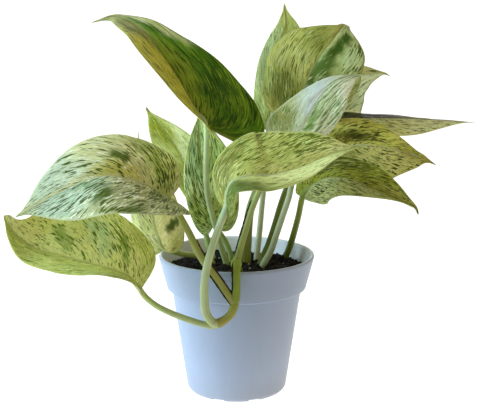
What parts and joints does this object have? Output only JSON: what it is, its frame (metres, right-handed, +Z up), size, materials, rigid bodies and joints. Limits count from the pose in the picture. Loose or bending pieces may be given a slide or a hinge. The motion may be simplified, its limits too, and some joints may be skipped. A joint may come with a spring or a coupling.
{
  "type": "potted snow queen pothos",
  "caption": "Snow queen pothos with marbled heart-shaped leaves and a short trailing stem, in a small white plastic nursery pot.",
  "frame": {"origin": "centre of the pot's foot, on the surface that it stands on", "axes": "+Z up, -Y towards the front where the stem hangs over the rim, +X to the right"},
  "size_m": [0.3093, 0.1626, 0.2602],
  "materials": {
    "pot_plastic": "satin, slightly translucent white",
    "soil": "dark damp potting mix with bark chips",
    "stem": "smooth green stem",
    "leaf_olive": "waxy, olive green flecked with cream",
    "leaf_cream": "waxy, cream flecked with green",
    "leaf_lime": "waxy, lime green streaked with green",
    "leaf_green": "waxy, dark green flecked with lime"
  },
  "bodies": {
    "root": {"pot": "pot_plastic", "soil": "soil", "stem_front": "stem", "leaf_front": "leaf_olive", "leaf_marbled_left": "leaf_cream", "leaf_low_left": "leaf_lime", "leaf_under_left": "leaf_cream", "leaf_back_left": "leaf_lime", "leaf_inner_left": "leaf_green", "leaf_upper_left": "leaf_green", "leaf_pale_centre": "leaf_cream", "leaf_top_centre": "leaf_olive", "leaf_top_back": "leaf_lime", "leaf_back_right": "leaf_cream", "leaf_long_right": "leaf_olive", "leaf_middle_right": "leaf_olive", "leaf_low_right": "leaf_olive"}
  },
  "joints": []
}
